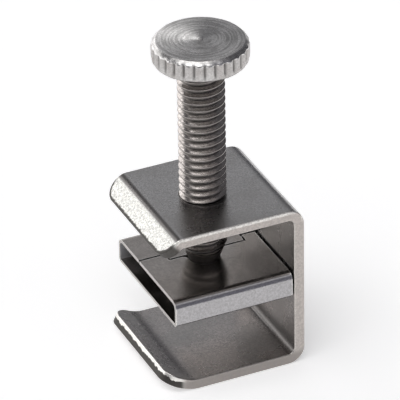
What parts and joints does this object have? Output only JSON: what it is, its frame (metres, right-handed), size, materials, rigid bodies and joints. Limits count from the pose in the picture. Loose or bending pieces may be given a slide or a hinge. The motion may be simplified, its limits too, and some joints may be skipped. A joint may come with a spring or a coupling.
{
  "type": "screw clamp",
  "caption": "Open-sided screw clamp: a bent C bracket, a ridged thumbscrew in its upper leg and a flat folded jaw that presses tubing against the lower leg.",
  "frame": {"origin": "on the screw axis, at the underside of the bracket's lower leg", "axes": "+Z along the screw towards its head; +X from the open side towards the back plate; Y across the bent strip"},
  "size_m": [0.0192, 0.0176, 0.0443],
  "materials": {
    "bracket_plate": "nickel-plated steel strip, satin",
    "jaw_sheet": "nickel-plated thin sheet, semi-bright",
    "screw_steel": "nickel-plated turned steel, satin"
  },
  "bodies": {
    "frame": {"bracket": "bracket_plate"},
    "jaw": {"pressure_jaw": "jaw_sheet"},
    "screw": {"thumbscrew": "screw_steel"}
  },
  "joints": [
    {"name": "jaw_travel", "type": "slide", "parent": "frame", "child": "jaw", "axis": [0, 0, 1], "range_m": [-0.0072, 0.00665]},
    {"name": "screw_turn", "type": "hinge", "parent": "jaw", "child": "screw", "pos_m": [0, 0, 0.0133], "axis": [0, 0, 1], "range_deg": [-2592, 2394]}
  ],
  "couplings": [
    {"joint": "screw_turn", "follows": "jaw_travel", "rad_per_m": 6283.2}
  ]
}
